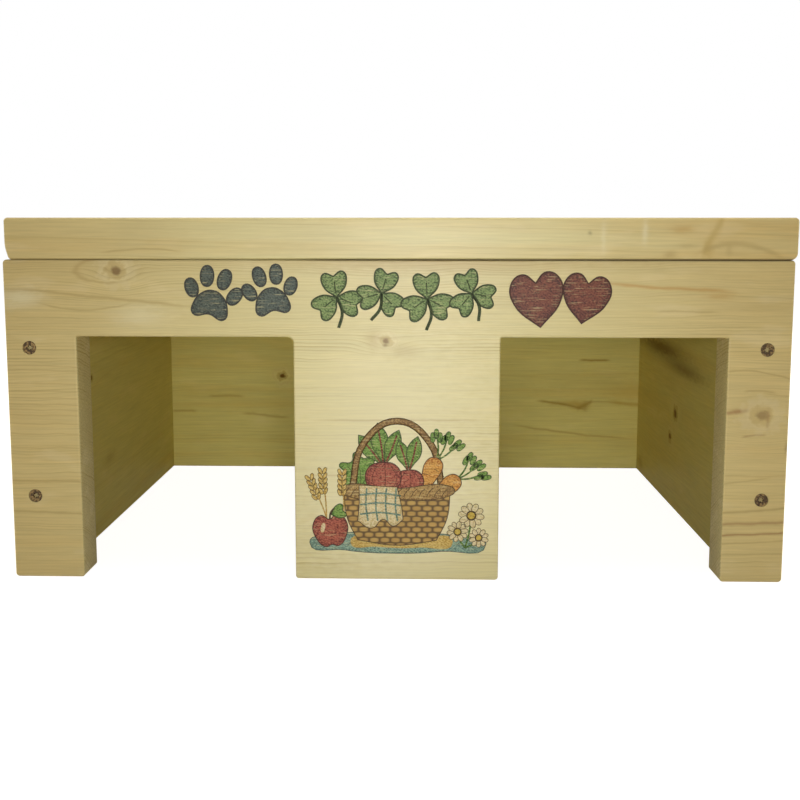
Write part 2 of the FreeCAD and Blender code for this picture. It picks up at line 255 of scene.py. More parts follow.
def spruce(finish, axes, pith, ring=2.3, lean=0.0, seed=0.0, contrast=0.75, amber=0.3, amber_ends=0.0,
           stave=None, marked="-y", room=None, knots=(), veins=(), patches=()):
    """Colour, roughness and relief of a spruce board, its sizes in millimetres.

    The axes name the directions along the grain, up the board's width and through its thickness.
    The pith, up and through, is the middle of the trunk that the board was sawn from. A stave's
    width is given where the board is glued up from several. Knots go through the board. Veins and
    patches lie on the face that looks the marked way. Where that face is in the room, it takes the
    given tint, a painted tint for the light inside the room. A shadow is painted along the joint
    under the roof.
    """
    place = dict(zip("xyz", finish.place()))
    along, up, through = (place[axis] for axis in axes)
    on_face = along, place["z"]
    seam = 0.0
    if stave:
        number = (up / stave + 0.5).math("FLOOR")
        seam_off = ((up / stave + 0.5).math("FRACT") - 0.5).math("ABSOLUTE")
        seam = finish.ease(seam_off, 0.5 - 0.35 / stave, 0.5 - 0.1 / stave)
        seam = seam * up.math("ABSOLUTE").math("LESS_THAN", stave)
        along, up = along + number * 733.0, up - number * stave * 0.83
    late, uneven = growth(finish, along, up, through, pith, ring, lean, seed, knots)

    normal = finish.node("SeparateXYZ", sockets={0: finish.node("TexCoord", output="Normal")})
    facing = dict(zip("xyz", (normal, normal.other("Y"), normal.other("Z"))))
    end = finish.ease(facing[axes[0]].math("ABSOLUTE"), 0.55, 0.9)
    broad = finish.ease(facing[axes[2]].math("ABSOLUTE"), 0.55, 0.9)
    way = -1.0 if marked[0] == "-" else 1.0
    on_marked = finish.ease(facing[marked[1]], way * 0.55, way * 0.9)

    fibre = finish.noise(along / 14.0 + seed, up / 0.45, through / 0.45, 3.0)
    streak = finish.noise(along / 38.0 + seed, up / 1.5, through / 1.5, 3.0)
    cloud = finish.noise(along / 44.0 + seed, up / 15.0, through / 15.0, 3.0)
    sawn = finish.noise(along / 40.0, up / 0.9, through / 0.35, 3.0)
    warm = finish.ease(uneven + (cloud - 0.5) * 0.5, 0.42, 0.72) * amber
    # Painted warm light: the board turns warmer towards its ends, away from the middle.
    if amber_ends:
        warm = warm + finish.ease(on_face[0].math("ABSOLUTE"), 60.0, 260.0) * amber_ends
    colour = finish.blend(warm, EARLY_WOOD, AMBER_WOOD)
    colour = finish.blend(end, colour, END_WOOD)
    clear = (broad * 0.45 + end * 1.35 + 0.55) * contrast
    if room:
        clear = clear * (1 - on_marked * 0.7)
    colour = finish.blend(late * clear, colour, LATE_WOOD)
    dusty = finish.ease(cloud, 0.56, 0.72)
    colour = finish.blend(dusty * 0.22, colour, DUSTY_WOOD)
    shade = (fibre - 0.5) * 0.14 + (streak - 0.5) * 0.3 + (cloud - 0.5) * 0.12 + 1.0
    shade = shade + end * ((sawn - 0.5) * 1.2 - 0.04) - seam * 0.35
    colour = finish.shade(colour, shade)
    if veins or patches:
        drawn = draw_years(finish, colour, *on_face, seed, veins, patches)
        colour = finish.blend(on_marked, colour, drawn)
    if knots:
        colour = draw_knots(finish, colour, *on_face, seed, knots)
    # The room side takes a painted tint for the light inside the room.
    if room:
        colour = finish.blend(on_marked, colour, finish.blend(1.0, colour, room, "MULTIPLY"))
    # Painted shadow along the joint under the roof, on every face but the flat top and underside,
    # weaker towards the left end. The joint is also rougher there.
    upright = finish.ease(facing["z"].math("ABSOLUTE"), 0.99, 0.95)
    shadow_share = finish.ease(place["x"], LESS_SHADOW_X, FULL_SHADOW_X, 0.5, 1.0)
    joint = finish.hump((place["z"] - ROOF_UNDER) / JOINT_SHADOW_HALF) * shadow_share
    colour = finish.blend(joint * upright, colour, JOINT_SHADOW)
    roughness = 0.36 + fibre * 0.12 + end * 0.25 + joint * 0.5
    relief = fibre * 0.5 - late * 0.4 + end * sawn * 1.5 - seam * 2.0
    return colour, roughness, relief


GRAIN_DEPTH = 0.02 * MM

# Index of refraction: a sanded board has a faint gloss, and the walls of the room next to none.
SANDED_IOR = 1.45
DULL_IOR = 1.04


def dress_board(node, ior=SANDED_IOR, **board):
    """Give a board of the house its own spruce."""
    finish = Finish(bpy.data.materials.new(node + "_spruce"))
    finish.paint(*spruce(finish, **board), GRAIN_DEPTH, ior)
    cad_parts[node].material_slots[0].material = finish.owner


dress_board(
    "left_side_board", DULL_IOR, axes="yzx", pith=(80.0, -330.0), ring=3.4, lean=0.03, seed=3.1,
    marked="+x", room=SIDE_ROOM_LIGHT_TINT, knots=[Knot(-89.8, 122.5, 2.2, 8.0, 0.6)],
    patches=[Patch(-52.9, 53.6, 14.0, 5.0, 0.35)])
dress_board(
    "right_side_board", DULL_IOR, axes="yzx", pith=(60.0, 330.0), ring=3.4, lean=-0.02, seed=7.7,
    marked="-x", room=SIDE_ROOM_LIGHT_TINT,
    knots=[Knot(5.5, 80.5, 4.6, 11.0, 0.8), Knot(20.6, 58.3, 3.4, 8.0, 0.8)],
    patches=[
        # Two long brown patches darken the upper part of the room side.
        Patch(60.0, 130.0, 80.0, 8.0, 0.8, BROWN_MARK),
        Patch(-20.0, 120.0, 55.0, 6.0, 0.62, BROWN_MARK),
        Patch(131.7, 10.2, 10.0, 6.0, 0.4),
    ])

# Front board: the full width in one plank, both doorways sawn out of its lower edge. Its rings
# run level across the face, round three knots and past a streak of resin. Four screws hold it to
# the side boards.

PALE_WOOD_AND_SHEEN = (0.86, 0.80, 0.54, 1.0)
RED_YEAR = (0.38, 0.21, 0.07, 1.0)
RESIN = (0.50, 0.27, 0.06, 1.0)
FRONT_GRAIN = dict(axes="xzy", pith=(-60.0, -225.0), ring=1.9, lean=0.004, seed=11.3, contrast=1.0,
                   amber=0.15, amber_ends=0.66)
CLOSE_YEARS = (142.5, 139.6, 130.9, 125.9, 121.3, 117.1, 113.4, 110.0, 104.2, 97.5, 88.2)
dress_board(
    "front_board", **FRONT_GRAIN,
    knots=[Knot(-181.2, 205.0, 3.6, 11.0, 0.8, 8.0), Knot(-6.2, 159.8, 2.3, 9.0, 0.75),
           Knot(237.6, 111.8, 4.0, 14.0, 0.5)],
    veins=[Vein((-275.0, z + 0.6), (-190.0, z - 0.8), 0.45, 0.32) for z in CLOSE_YEARS] + [
        Vein((-275.0, 195.0), (-120.0, 180.0), 1.0, 0.5, bow=0.8),
        Vein((-238.0, 185.0), (-168.0, 185.0), 0.6, 0.45, bow=-5.5),
        Vein((-275.0, 65.8), (-195.0, 65.4), 0.8, 0.5), Vein((-275.0, 45.4), (-190.0, 43.2), 0.8, 0.5),
        Vein((-62.0, 107.6), (64.0, 108.0), 0.6, 0.35), Vein((-62.0, 70.7), (10.0, 71.0), 0.6, 0.3),
        Vein((128.0, 197.2), (222.0, 191.6), 1.1, 0.7, RESIN),
        Vein((165.0, 179.5), (210.0, 178.7), 0.6, 0.4),
        Vein((205.0, 139.5), (268.0, 130.5), 0.6, 0.5, bow=5.0),
        Vein((224.0, 126.8), (248.0, 126.4), 0.7, 0.5, bow=1.2),
        Vein((236.0, 126.6), (268.0, 122.6), 0.5, 0.4),
        Vein((209.0, 113.0), (231.0, 115.4), 1.3, 0.75, RED_YEAR),
        Vein((224.0, 97.4), (242.0, 98.4), 0.7, 0.6, RED_YEAR, 0.8),
        Vein((205.0, 71.5), (272.0, 72.0), 0.5, 0.35), Vein((207.0, 64.6), (247.0, 71.4), 0.6, 0.35),
        Vein((195.0, 44.6), (275.0, 52.2), 0.8, 0.55),
        Vein((195.0, 36.8), (275.0, 41.4), 1.1, 0.7, RED_YEAR, 0.8),
        Vein((195.0, 29.8), (275.0, 35.0), 0.8, 0.85, RED_YEAR),
        Vein((195.0, 24.0), (275.0, 29.6), 0.6, 0.4), Vein((205.0, 18.4), (265.0, 19.4), 0.5, 0.3),
    ],
    patches=[
        # The three long dark patches along the top are painted shade under the roof's edge.
        Patch(0.0, 190.0, 600.0, 26.0, 0.13), Patch(30.0, 210.0, 130.0, 6.0, 0.48),
        Patch(-210.0, 208.0, 90.0, 7.0, 0.16),
        Patch(-244.3, 187.5, 14.0, 6.0, 0.5, PALE_WOOD_AND_SHEEN),
        Patch(-166.0, 175.5, 17.0, 7.0, 0.35, PALE_WOOD_AND_SHEEN),
        # The two broad pale patches over the middle post are a painted sheen, which also fades its
        # rings.
        Patch(5.0, 120.0, 62.0, 45.0, 0.35, PALE_WOOD_AND_SHEEN), Patch(0.0, 50.0, 62.0, 50.0, 0.85, PALE_WOOD_AND_SHEEN),
        Patch(-14.0, 160.3, 5.0, 6.0, 0.35), Patch(5.5, 153.2, 9.0, 5.0, 0.25),
        Patch(-6.8, 156.8, 1.8, 1.0, 0.8, BROWN_MARK),
        Patch(207.7, 189.1, 9.0, 2.2, 0.45, RESIN), Patch(236.0, 182.0, 20.0, 2.5, 0.2),
        Patch(241.4, 109.0, 1.2, 6.0, 0.65, RED_YEAR), Patch(221.5, 114.6, 3.4, 1.7, 0.6, RED_YEAR),
        Patch(233.0, 112.0, 13.0, 12.0, 0.18, KNOT_RING), Patch(254.4, 90.7, 1.2, 4.0, 0.5, BROWN_MARK),
    ])

# Back board: the front board's twin without doorways. It shows through both of them, with a
# knot on the left and a wedge of darker years on the right. Screws hold it as they hold the front.

# Tint of the back board's room side: painted lighter and yellower for the light inside the room.
BACK_ROOM_LIGHT_TINT = (1.17, 1.17, 0.80, 1.0)
WARM_YEAR = (0.50, 0.33, 0.08, 1.0)
dress_board(
    "back_board", DULL_IOR, axes="xzy", pith=(-80.0, 230.0), ring=2.9, seed=19.9, contrast=1.0,
    room=BACK_ROOM_LIGHT_TINT, knots=[Knot(-119.4, 90.6, 2.9, 9.0, 1.0)],
    veins=[
        Vein((-195.0, 71.0), (-155.0, 70.5), 1.3, 0.45), Vein((-232.0, 55.2), (-202.0, 55.6), 1.2, 0.5),
        Vein((-164.0, 54.2), (-108.0, 48.6), 1.3, 0.45), Vein((168.0, 107.2), (202.0, 107.3), 1.0, 0.9),
        Vein((126.0, 67.5), (181.0, 57.5), 1.3, 0.8, bow=1.5),
        Vein((167.5, 58.5), (185.0, 67.5), 2.0, 0.7), Vein((172.0, 66.5), (215.0, 65.0), 0.7, 0.4),
        Vein((194.0, 66.0), (275.0, 58.5), 1.9, 0.6, WARM_YEAR, 1.0),
        Vein((100.0, 44.0), (228.0, 29.2), 1.1, 0.5, bow=-1.5),
    ],
    patches=[
        Patch(-140.2, 46.7, 10.0, 6.0, 0.5, DUSTY_WOOD),
        Patch(-130.0, 64.0, 60.0, 5.0, 0.3, AMBER_WOOD),
        Patch(222.0, 77.0, 24.0, 8.0, 0.5, AMBER_WOOD), Patch(175.0, 86.0, 55.0, 13.0, 0.2),
        Patch(160.0, 64.4, 15.0, 2.8, 0.55, WARM_YEAR), Patch(171.0, 62.5, 7.0, 4.2, 0.6, WARM_YEAR),
        Patch(176.5, 62.0, 3.5, 4.0, 0.55),
    ])

# Front and back screws: countersunk wood screws in brown-gold plating, sunk just below the wood.
# The recess of each has caught some sawdust.

PLATING = (0.28, 0.18, 0.065, 1.0)
PLATING_DULL = (0.055, 0.030, 0.010, 1.0)
SAWDUST = (0.50, 0.40, 0.18, 1.0)
WALL_FACE = 175.0


def plated_steel(name, axis, face):
    """Yellow zinc plating, dulled in patches, on screws whose heads lie below a face of the house."""
    finish = Finish(bpy.data.materials.new(name))
    place = dict(zip("xyz", finish.place()))
    blotch = finish.noise(place["x"] / 1.4, place["y"] / 1.4, place["z"] / 1.4, 4.0)
    below = face - place[axis].math("ABSOLUTE")
    dust = finish.ease(below + blotch * 0.8, 1.9, 2.5)
    colour = finish.blend(finish.ease(blotch, 0.38, 0.54), PLATING, PLATING_DULL)
    colour = finish.blend(dust, colour, SAWDUST)
    normal = finish.node("Bump", sockets={"Strength": 0.5, "Distance": 0.08 * MM, "Height": blotch})
    sockets = {"Base Color": colour, "Metallic": 0.4 - dust * 0.4, "Roughness": 0.45 + blotch * 0.3,
               "Normal": normal}
    shader = finish.node("BsdfPrincipled", sockets=sockets)
    finish.node("OutputMaterial", sockets={"Surface": shader})
    return finish.owner


wall_screw_steel = plated_steel("wall_screw_steel", "y", WALL_FACE)
for group in ("front_screws", "back_screws"):
    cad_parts[group].material_slots[0].material = wall_screw_steel

# Roof board: one wide panel over all four walls, glued up from three staves, its ends sanded
# round by hand. Eight screws of the same kind go down through it into the walls.

ROOF_TOP = 239.0
STAVE_WIDTH = 350.0 / 3
dress_board(
    "roof_board", axes="xyz", pith=(-10.0, 150.0), ring=2.8, lean=0.05, seed=29.0, contrast=0.9,
    amber_ends=0.66, stave=STAVE_WIDTH,
    veins=[
        Vein((-196.0, 216.0), (-134.0, 217.2), 0.6, 0.5, bow=2.2),
        Vein((194.0, 214.0), (210.5, 243.0), 4.6, 0.5, WARM_YEAR),
        Vein((188.0, 215.0), (252.0, 210.0), 2.0, 0.42, bow=10.0),
    ],
    patches=[
        Patch(199.5, 218.0, 3.0, 6.0, 0.4, WARM_YEAR), Patch(212.5, 218.5, 2.2, 4.0, 0.3),
        Patch(204.0, 226.0, 14.0, 9.0, 0.25, AMBER_WOOD), Patch(185.6, 221.0, 6.0, 1.6, 0.3),
        Patch(-163.0, 225.0, 45.0, 16.0, 0.13), Patch(-52.0, 227.0, 34.0, 16.0, 0.15),
        Patch(182.2, 231.5, 7.0, 2.2, 0.45, RESIN),
        Patch(175.0, 215.5, 4.0, 2.4, 0.5), Patch(124.0, 229.2, 1.3, 1.3, 0.5, BROWN_MARK),
        Patch(132.6, 226.0, 1.7, 9.0, 0.3, PALE_WOOD_AND_SHEEN), Patch(159.0, 230.0, 1.7, 7.0, 0.4, PALE_WOOD_AND_SHEEN),
    ])
roof_screw_steel = plated_steel("roof_screw_steel", "z", ROOF_TOP)
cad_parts["roof_screws"].material_slots[0].material = roof_screw_steel

# Band over the doorways: paw prints, clover and hearts, each outlined with a hot iron and filled
# with thin water stain in short strokes. The wood's grain shows through. It is drawn straight
# onto the sanded front board.

FRONT_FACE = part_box("front_board")[0][1] / MM
UNDER_FACE = 0.1
FIRST_LEVEL = 0.01
LEVEL_STEP = 0.01
LINE_RISE = 0.006
STAIN_IOR = 1.4


class Drawing:
    """A burned and stained drawing on the front board, in mm across (x) and up (z) the board.

    The places that each ink has covered become one piece in the end.
    """

    def __init__(self, name, line_half):
        self.name, self.line_half = name, line_half
        self.level = FIRST_LEVEL
        self.inked = {}

    def over(self):
        """What is drawn from now on covers what it meets."""
        self.level += LEVEL_STEP

    def traced(self, points, closed, **settings):
        """Solid or flat mesh of a smooth curve. A point with a third value is a sharp corner."""
        curve = bpy.data.curves.new(self.name, "CURVE")
        curve.resolution_u = 6
        for name, setting in settings.items():
            setattr(curve, name, setting)
        spline = curve.splines.new("BEZIER")
        spline.bezier_points.add(len(points) - 1)
        spline.use_cyclic_u = closed
        for knot, (x, z, *corner) in zip(spline.bezier_points, points):
            knot.co = (x, z, 0.0)
        for knot, (x, z, *corner) in zip(spline.bezier_points, points):
            knot.handle_left_type = knot.handle_right_type = "VECTOR" if corner else "AUTO"
        holder = bpy.data.objects.new(self.name, curve)
        mesh = bpy.data.meshes.new_from_object(holder)
        bm = bmesh.new()
        bm.from_mesh(mesh)
        bmesh.ops.remove_doubles(bm, verts=bm.verts, dist=0.01)
        bpy.data.objects.remove(holder)
        bpy.data.curves.remove(curve)
        bpy.data.meshes.remove(mesh)
        return bm

    def press(self, ink, bm):
        """Lay the solid on the board. Its third direction is the distance from the face."""
        bmesh.ops.recalc_face_normals(bm, faces=bm.faces)
        upright = mathutils.Matrix.Rotation(math.radians(90.0), 4, "X")
        moved = mathutils.Matrix.Translation((0.0, FRONT_FACE, 0.0))
        bmesh.ops.transform(bm, matrix=mathutils.Matrix.Scale(MM, 4) @ moved @ upright, verts=bm.verts)
        mesh = bpy.data.meshes.new(self.name)
        bm.to_mesh(mesh)
        bm.free()
        self.inked.setdefault(ink, []).append(mesh)

    def area(self, ink, points, line="scorched", half=None):
        """Area inside a closed curve, its middle marked for paler stain, with a line round it."""
        bm = self.traced(points, True)
        inside = bm.verts.layers.float.new("inside")
        middle = sum((vert.co for vert in bm.verts), mathutils.Vector()) / len(bm.verts)
        ring = list(bm.edges)
        for share, paler in ((0.8, 0.6), (0.7, 1.0)):
            made = bmesh.ops.extrude_edge_only(bm, edges=ring)["geom"]
            ring = [part for part in made if isinstance(part, bmesh.types.BMEdge)]
            corners = [part for part in made if isinstance(part, bmesh.types.BMVert)]
            bmesh.ops.scale(bm, vec=(share, share, 1.0),
                            space=mathutils.Matrix.Translation(-middle), verts=corners)
            for vert in corners:
                vert[inside] = paler
        bmesh.ops.edgeloop_fill(bm, edges=ring)
        bmesh.ops.translate(bm, vec=(0.0, 0.0, self.level), verts=bm.verts)
        back = bmesh.ops.extrude_face_region(bm, geom=list(bm.faces), use_keep_orig=True)["geom"]
        bmesh.ops.translate(bm, vec=(0.0, 0.0, -self.level - UNDER_FACE),
                            verts=[part for part in back if isinstance(part, bmesh.types.BMVert)])
        self.press(ink, bm)
        if line:
            self.line(line, points, half, closed=True)

    def line(self, ink, points, half=None, closed=False):
        """Line along a curve, a tube pressed flat."""
        half = half or self.line_half
        bm = self.traced(points, closed, dimensions="3D", fill_mode="FULL", bevel_depth=half,
                         bevel_resolution=1, use_fill_caps=True)
        bm.verts.layers.float.new("inside")
        bmesh.ops.scale(bm, vec=(1.0, 1.0, LINE_RISE / half), verts=bm.verts)
        bmesh.ops.translate(bm, vec=(0.0, 0.0, self.level), verts=bm.verts)
        self.press(ink, bm)

    def pieces(self, inks):
        """Turn what each ink has covered into a piece of the house."""
        for ink, meshes in self.inked.items():
            bm = bmesh.new()
            for mesh in meshes:
                bm.from_mesh(mesh)
                bpy.data.meshes.remove(mesh)
            name = "%s_%s" % (self.name, ink)
            joined = bpy.data.meshes.new(name)
            bm.to_mesh(joined)
            bm.free()
            joined.materials.append(inks[ink])
            piece = bpy.data.objects.new(name, joined)
            bpy.context.scene.collection.objects.link(piece)
            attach(piece, "root")


def stained(name, full, thin, pitch=1.7, slant=0.7):
    """Water stain over the front board's grain: full at the edge of an area, thinner in its middle
    and between the strokes of the brush, with specks that the brush has missed."""
    finish = Finish(bpy.data.materials.new(name + "_stain"))
    wood, roughness, relief = spruce(finish, **FRONT_GRAIN)
    x, y, z = finish.place()
    inside = finish.node("Attribute", {"attribute_name": "inside"}, output="Fac")
    wave = finish.noise(x / 4.0, z / 4.0, 0.0, 3.0)
    strokes = ((z + x * slant) * (2.0 * math.pi / pitch) + wave * 11.0).math("SINE") * 0.5 + 0.5
    patchy = finish.noise(x / 3.4, z / 3.4, 5.0, 3.0)
    specks = finish.noise(x / 1.3, z / 1.1, 8.0, 3.0)
    pores = finish.noise(x / 12.0, z / 0.9, 2.0, 2.0)
    brushed = inside * 0.36 + strokes * 0.24 + (patchy - 0.5) * 1.0 + (specks - 0.5) * 3.0 + 0.2
    tints = [(*(wanted / wooden for wanted, wooden in zip(colour, EARLY_WOOD)), 1.0)
             for colour in (full, thin)]
    tint = finish.blend(finish.ease(brushed, 0.0, 1.0), *tints)
    bare = finish.ease(pores, 0.57, 0.70) * 0.45 + finish.ease(specks, 0.62, 0.76) * 0.35
    tint = finish.blend(bare, tint, WHITE)
    finish.paint(finish.blend(1.0, wood, tint, "MULTIPLY"), roughness + 0.12, relief - strokes * 0.2,
                 GRAIN_DEPTH, STAIN_IOR)
    return finish.owner


def scorched(name, dark, pale):
    """Line burned with a hot iron, darkest where the iron rested."""
    finish = Finish(bpy.data.materials.new(name))
    x, y, z = finish.place()
    rested = finish.noise(x / 1.3, z / 1.3, 3.0, 3.0)
    colour = finish.blend(finish.ease(rested, 0.38, 0.62), (*dark, 1.0), (*pale, 1.0))
    finish.paint(colour, 0.65 + rested * 0.2, rested, GRAIN_DEPTH, STAIN_IOR)
    return finish.owner


def placed(points, x, z, size=1.0, turn=0.0):
    """The points turned by degrees, scaled and moved."""
    cosine = size * math.cos(math.radians(turn))
    sine = size * math.sin(math.radians(turn))
    return [(x + px * cosine - pz * sine, z + px * sine + pz * cosine, *corner)
            for px, pz, *corner in points]


def oval(x, z, across, up, turn=0.0):
    """Ellipse of four points."""
    return placed([(across, 0.0), (0.0, up), (-across, 0.0), (0.0, -up)], x, z, 1.0, turn)


PAW_PAD = [(-7.6, -9.0), (-8.2, -3.4), (-4.0, 2.6), (0.0, 3.8), (4.0, 2.6), (8.2, -3.4),
           (7.6, -9.0), (0.0, -7.6)]
TOES = [(-10.6, 3.2, 3.1, 4.6, 28.0), (-4.3, 10.2, 3.2, 5.0, 8.0), (4.3, 10.2, 3.2, 5.0, -8.0),
        (10.6, 3.2, 3.1, 4.6, -28.0)]
LEAFLET = [(0.0, 0.0, True), (-5.8, 6.4), (-5.0, 12.4), (0.0, 10.6, True), (5.0, 12.4), (5.8, 6.4)]
HEART = [(0.0, -14.0, True), (-10.6, -2.4), (-11.2, 6.6), (-5.6, 10.6), (0.0, 6.2, True), (5.6, 10.6),
         (11.2, 6.6), (10.6, -2.4)]

# Where each of them is drawn: x, z, size and turn in degrees.
PAWS = [(-119.0, 187.0, 1.34, -12.0), (-80.5, 189.0, 1.28, 9.0)]
CLOVERS = [(-38.0, 188.0, 1.28, 9.0), (-9.0, 190.5, 1.2, -16.0), (20.5, 187.0, 1.3, 4.0),
           (49.0, 190.5, 1.18, 20.0)]
HEARTS = [(91.0, 188.5, 1.42, 7.0), (122.5, 189.0, 1.28, -9.0)]

band = Drawing("band", 0.5)
for x, z, size, turn in PAWS:
    band.over()
    band.area("slate", placed(PAW_PAD, x, z, size, turn), "scorched_slate")
    for toe in TOES:
        band.area("slate", placed(oval(*toe), x, z, size, turn), "scorched_slate")
for x, z, size, turn in CLOVERS:
    band.over()
    band.line("scorched_leaf", placed([(0.0, 0.0), (1.5, -8.0), (-1.5, -15.5)], x, z, size, turn), 1.0)
    for leaflet in (0.0, 120.0, 240.0):
        band.area("leaf", placed(LEAFLET, x, z, size, turn + leaflet), "scorched_leaf")
        band.line("scorched_leaf", placed([(0.0, 2.0), (0.0, 8.0)], x, z, size, turn + leaflet), 0.35)
for x, z, size, turn in HEARTS:
    band.over()
    band.area("maroon", placed(HEART, x, z, size, turn), "scorched_maroon")

inks = {
    "slate": stained("slate", (0.012, 0.018, 0.016), (0.080, 0.102, 0.080)),
    "leaf": stained("leaf", (0.036, 0.068, 0.014), (0.21, 0.295, 0.09)),
    "maroon": stained("maroon", (0.036, 0.007, 0.004), (0.195, 0.055, 0.029)),
    "scorched_slate": scorched("scorched_slate", (0.026, 0.026, 0.022), (0.062, 0.062, 0.05)),
    "scorched_leaf": scorched("scorched_leaf", (0.026, 0.034, 0.014), (0.062, 0.084, 0.034)),
    "scorched_maroon": scorched("scorched_maroon", (0.030, 0.014, 0.010), (0.080, 0.030, 0.020)),
}
band.pieces(inks)

# Picture on the middle post: a harvest basket on a spread cloth, with beets, carrots and lettuce,
# and an apple, wheat and daisies beside it. It is burned and stained as the band is, with finer
# lines and more colours.

BEET = [(0.0, 10.0), (-9.0, 7.0), (-11.0, -2.0), (-5.0, -10.0), (0.0, -16.0, True), (5.0, -10.0),
        (11.0, -2.0), (9.0, 7.0)]
LONG_LEAF = [(0.0, 0.0, True), (-2.0, 5.0), (-5.0, 12.0), (-4.0, 19.0), (0.0, 25.0, True), (4.0, 19.0),
             (5.0, 12.0), (2.0, 5.0)]
CARROT = [(0.0, 0.0, True), (-4.6, 18.0), (-5.6, 27.0), (-3.0, 31.0), (3.0, 31.0), (5.6, 27.0),
          (4.6, 18.0)]
LETTUCE = [(-9.0, -6.0), (-12.0, 1.0), (-8.0, 5.0), (-10.0, 11.0), (-3.0, 11.0), (0.0, 16.0),
           (4.5, 11.5), (10.0, 12.0), (9.0, 5.0), (12.0, 0.0), (8.0, -6.0)]
APPLE = [(0.0, 7.6), (5.0, 10.5), (10.5, 5.5), (9.5, -4.0), (4.0, -10.0), (0.0, -8.8), (-4.0, -10.0),
         (-9.5, -4.0), (-10.5, 5.5), (-5.0, 10.5)]
SPREAD_CLOTH = [(-57.0, 25.0), (-34.0, 20.0), (-6.0, 18.0), (30.0, 19.5), (60.0, 25.0), (48.0, 29.0),
                (0.0, 32.0), (-44.0, 30.0)]
STRAW_BED = [(-30.0, 25.5), (-12.0, 22.4), (16.0, 22.0), (38.0, 26.0), (20.0, 30.0), (-14.0, 30.5)]
BASKET = [(-34.0, 60.0, True), (-32.0, 42.0), (-25.0, 27.0, True), (1.0, 23.5), (27.0, 27.0, True),
          (34.0, 42.0), (36.0, 60.0, True)]
RIM = [(-37.0, 60.5), (-33.0, 64.0), (1.0, 62.0), (35.0, 64.0), (39.0, 60.5), (35.0, 57.0), (1.0, 54.5),
       (-33.0, 57.0)]
NAPKIN = [(-24.0, 64.0, True), (1.0, 63.0, True), (4.0, 50.0), (5.0, 41.0, True), (-1.5, 36.5),
          (-8.0, 41.0), (-15.5, 35.0), (-25.0, 40.0, True), (-24.0, 52.0)]

# Where each thing is drawn: x and z, then its size, its turn in degrees or both.
LETTUCE_PLACE = (-23.0, 68.0, 1.15, 12.0)
LETTUCE_FOOT = (-23.0, 62.0)
LEAVES = [(-9.0, 78.0, 1.0, 38.0), (-8.0, 78.0, 1.12, 8.0), (-7.0, 78.0, 1.0, -22.0),
          (8.0, 74.0, 0.85, 16.0), (9.0, 74.0, 0.95, -14.0)]
CARROTS = [(17.0, 50.0, 1.0, -52.0), (14.0, 52.0, 1.05, -24.0)]
BEETS = [(9.0, 66.0, 0.85), (-8.0, 69.0, 1.05)]
EARS = [(-41.0, 24.0, 19.0), (-46.5, 26.0, 2.0), (-36.0, 25.0, -1.0)]
APPLE_PLACE = (-43.0, 33.0, 1.05, 6.0)
APPLE_LEAF_PLACE = (-42.5, 44.0, 0.75, -68.0)
STALK_FOOT = (46.0, 22.0)

# Daisies: x, z, radius and turn in degrees. The middle of each is this share of its radius.
DAISIES = [(50.0, 44.0, 8.5, 10.0), (41.0, 33.0, 7.0, 25.0), (55.0, 29.0, 6.5, 0.0)]
DAISY_MIDDLE = 0.3

# Basket's handle: half an ellipse over the middle of the rim.
HANDLE_MIDDLE = (1.0, 60.0)
HANDLE_HALF_WIDTH = 30.0
HANDLE_HEIGHT = 47.0


def on_handle(degrees, off=0.0):
    """A point on the handle's arch, or this far outside it."""
    angle = math.radians(degrees)
    return (HANDLE_MIDDLE[0] - (HANDLE_HALF_WIDTH + off) * math.cos(angle),
            HANDLE_MIDDLE[1] + (HANDLE_HEIGHT + off) * math.sin(angle))


HANDLE = [on_handle(degrees) for degrees in (0.0, 45.0, 90.0, 135.0, 180.0)]

picture = Drawing("picture", 0.28)
picture.area("blue", SPREAD_CLOTH, "scorched_slate", 0.2)
for x in range(-50, 56, 9):
    fold = [(x, 20.5 + x * x / 520.0), (x + 2.0, 25.0), (x + 6.0, 30.5)]
    picture.line("scorched_slate", fold, 0.16)
picture.over()
picture.area("straw", STRAW_BED, None)

picture.area("green", placed(LETTUCE, *LETTUCE_PLACE), "scorched_leaf")
for turn in (30.0, 5.0, -20.0):
    rib = placed([(0.0, 0.0), (0.8, 9.0), (0.0, 17.0)], *LETTUCE_FOOT, 1.0, turn)
    picture.line("scorched_leaf", rib, 0.2)
for x, z, size, turn in LEAVES:
    picture.over()
    picture.area("green", placed(LONG_LEAF, x, z, size, turn), "scorched_leaf")
    picture.line("beet", placed([(0.0, 0.0), (0.4, 10.0), (0.0, 21.0)], x, z, size, turn), 0.55)

picture.over()
picture.line("scorched", HANDLE, 2.3)
picture.over()
picture.line("rim", HANDLE, 1.9)
for degrees in range(6, 180, 8):
    picture.line("scorched", [on_handle(degrees - 3.0, -1.6), on_handle(degrees + 2.0, 1.6)], 0.2)

